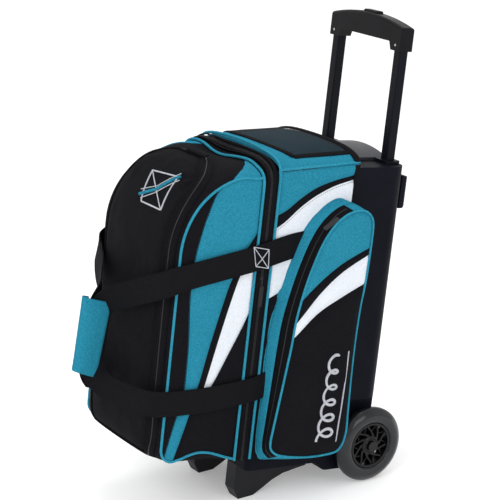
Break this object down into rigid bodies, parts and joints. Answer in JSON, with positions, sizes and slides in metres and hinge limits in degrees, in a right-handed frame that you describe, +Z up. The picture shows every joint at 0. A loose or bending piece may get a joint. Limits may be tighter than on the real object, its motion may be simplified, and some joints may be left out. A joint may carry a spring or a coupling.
{
  "type": "roller ball bag",
  "caption": "Upright fabric roller bag with wheels, a telescoping handle, a zippered lid, side pockets and carrying straps.",
  "frame": {"origin": "centre of the bounding box, on the floor", "axes": "+Z up, +Y towards the wheels and handle, the lid faces -Y, +X to the right-hand side pocket"},
  "size_m": [0.31, 0.57, 0.7594],
  "materials": {
    "teal_fabric": "matte heather weave",
    "black_fabric": "matte woven polyester",
    "padding": "foam",
    "webbing": "woven webbing",
    "netting": "open netting",
    "zipper": "satin coil",
    "zipper_metal": "satin black",
    "case_plastic": "fine texture",
    "grip_plastic": "satin moulded",
    "tube_metal": "satin black",
    "steel": "plain",
    "hub_plastic": "clear smoke",
    "tyre": "clear smoke polyurethane",
    "foot_plastic": "moulded"
  },
  "bodies": {
    "frame": {"rear_side_panel_right": "teal_fabric", "rear_side_panel_left": "teal_fabric", "rear_top_panel": "teal_fabric", "rear_bottom_panel": "black_fabric", "back_board": "case_plastic", "mesh_pocket": "netting", "ball_cup": "padding", "base_tray": "case_plastic", "zipper_tape_rear": "zipper", "piping_rear": "teal_fabric", "trolley_housing": "case_plastic", "housing_top_cap": "case_plastic", "rear_bumper": "case_plastic", "wheel_carriage": "case_plastic", "axle": "steel", "axle_spacers": "steel", "axle_caps": "steel", "foot_right": "foot_plastic", "foot_left": "foot_plastic", "side_pocket_right": "teal_fabric", "side_pocket_left": "teal_fabric", "guide_tube_right": "tube_metal", "guide_tube_left": "tube_metal", "tube_collar_right": "case_plastic", "tube_collar_left": "case_plastic", "strap_anchors": "webbing", "side_pocket_slider_right": "zipper_metal", "side_pocket_slider_left": "zipper_metal"},
    "lid": {"lid_side_panel_right": "teal_fabric", "lid_side_panel_left": "teal_fabric", "lid_front_panel": "black_fabric", "lid_bottom_panel": "black_fabric", "shoe_pocket": "black_fabric", "zipper_tape_front": "zipper", "piping_front": "teal_fabric"},
    "handle": {"grip_body": "grip_plastic", "grip_cover": "grip_plastic", "grip_rivets": "steel", "handle_tube_right": "tube_metal", "handle_tube_left": "tube_metal", "tube_end_plugs": "case_plastic", "button_spring": "steel"},
    "release": {"release_button": "grip_plastic", "release_bar": "grip_plastic", "push_rod_left": "steel", "push_rod_right": "steel"},
    "wheel_right": {"hub_right": "hub_plastic", "tyre_right": "tyre"},
    "wheel_left": {"hub_left": "hub_plastic", "tyre_left": "tyre"},
    "strap_right": {"strap_loop_right": "webbing", "hand_wrap": "teal_fabric"},
    "strap_left": {"strap_loop_left": "webbing"},
    "main_slider_right": {"main_slider_right": "zipper_metal"},
    "main_slider_left": {"main_slider_left": "zipper_metal"},
    "main_pull_right": {"main_pull_right": "zipper_metal"},
    "main_pull_left": {"main_pull_left": "zipper_metal"},
    "side_pocket_pull_right": {"side_pocket_pull_right": "zipper_metal"},
    "side_pocket_pull_left": {"side_pocket_pull_left": "zipper_metal"}
  },
  "joints": [
    {"name": "handle_slide", "type": "slide", "parent": "frame", "child": "handle", "axis": [0, 0.1271, 0.9919], "range_m": [-0.175, 0.13]},
    {"name": "button_press", "type": "slide", "parent": "handle", "child": "release", "axis": [0, -0.1271, -0.9919], "range_m": [0, 0.004], "stiffness_N_per_m": 900, "springref_m": -0.0025, "deforming": ["button_spring"]},
    {"name": "wheel_right_spin", "type": "hinge", "parent": "frame", "child": "wheel_right", "pos_m": [0.124, 0.18403, 0.0635], "axis": [1, 0, 0], "continuous": true},
    {"name": "wheel_left_spin", "type": "hinge", "parent": "frame", "child": "wheel_left", "pos_m": [-0.124, 0.18403, 0.0635], "axis": [1, 0, 0], "continuous": true},
    {"name": "lid_open", "type": "hinge", "parent": "frame", "child": "lid", "pos_m": [0, -0.0613, 0.08837], "axis": [1, 0, 0], "range_deg": [0, 38]},
    {"name": "strap_right_swing", "type": "hinge", "parent": "frame", "child": "strap_right", "pos_m": [0.1245, -0.02128, 0.31815], "axis": [0, 0.1271, 0.9919], "range_deg": [0, 114]},
    {"name": "strap_left_swing", "type": "hinge", "parent": "frame", "child": "strap_left", "pos_m": [-0.1245, -0.02128, 0.31815], "axis": [0, 0.1271, 0.9919], "range_deg": [-114, 0]},
    {"name": "main_slider_right_slide", "type": "slide", "parent": "frame", "child": "main_slider_right", "axis": [0, -0.1271, -0.9919], "range_m": [0, 0.1]},
    {"name": "main_slider_left_slide", "type": "slide", "parent": "frame", "child": "main_slider_left", "axis": [0, -0.1271, -0.9919], "range_m": [0, 0.1]},
    {"name": "main_pull_right_swing", "type": "hinge", "parent": "main_slider_right", "child": "main_pull_right", "pos_m": [0.1216, -0.02455, 0.37523], "axis": [0, -0.9919, 0.1271], "range_deg": [0, 140]},
    {"name": "side_pocket_pull_right_swing", "type": "hinge", "parent": "frame", "child": "side_pocket_pull_right", "pos_m": [0.14852, 0.10074, 0.47078], "axis": [-0.8752, -0.2253, 0.428], "range_deg": [0, 140]},
    {"name": "main_pull_left_swing", "type": "hinge", "parent": "main_slider_left", "child": "main_pull_left", "pos_m": [-0.1216, -0.02455, 0.37523], "axis": [0, 0.9919, -0.1271], "range_deg": [0, 140]},
    {"name": "side_pocket_pull_left_swing", "type": "hinge", "parent": "frame", "child": "side_pocket_pull_left", "pos_m": [-0.14852, 0.10074, 0.47078], "axis": [-0.8752, 0.2253, -0.428], "range_deg": [0, 140]}
  ],
  "couplings": [
    {"joint": "strap_right_swing", "follows": "lid_open", "ratio": 3},
    {"joint": "strap_left_swing", "follows": "lid_open", "ratio": -3}
  ]
}
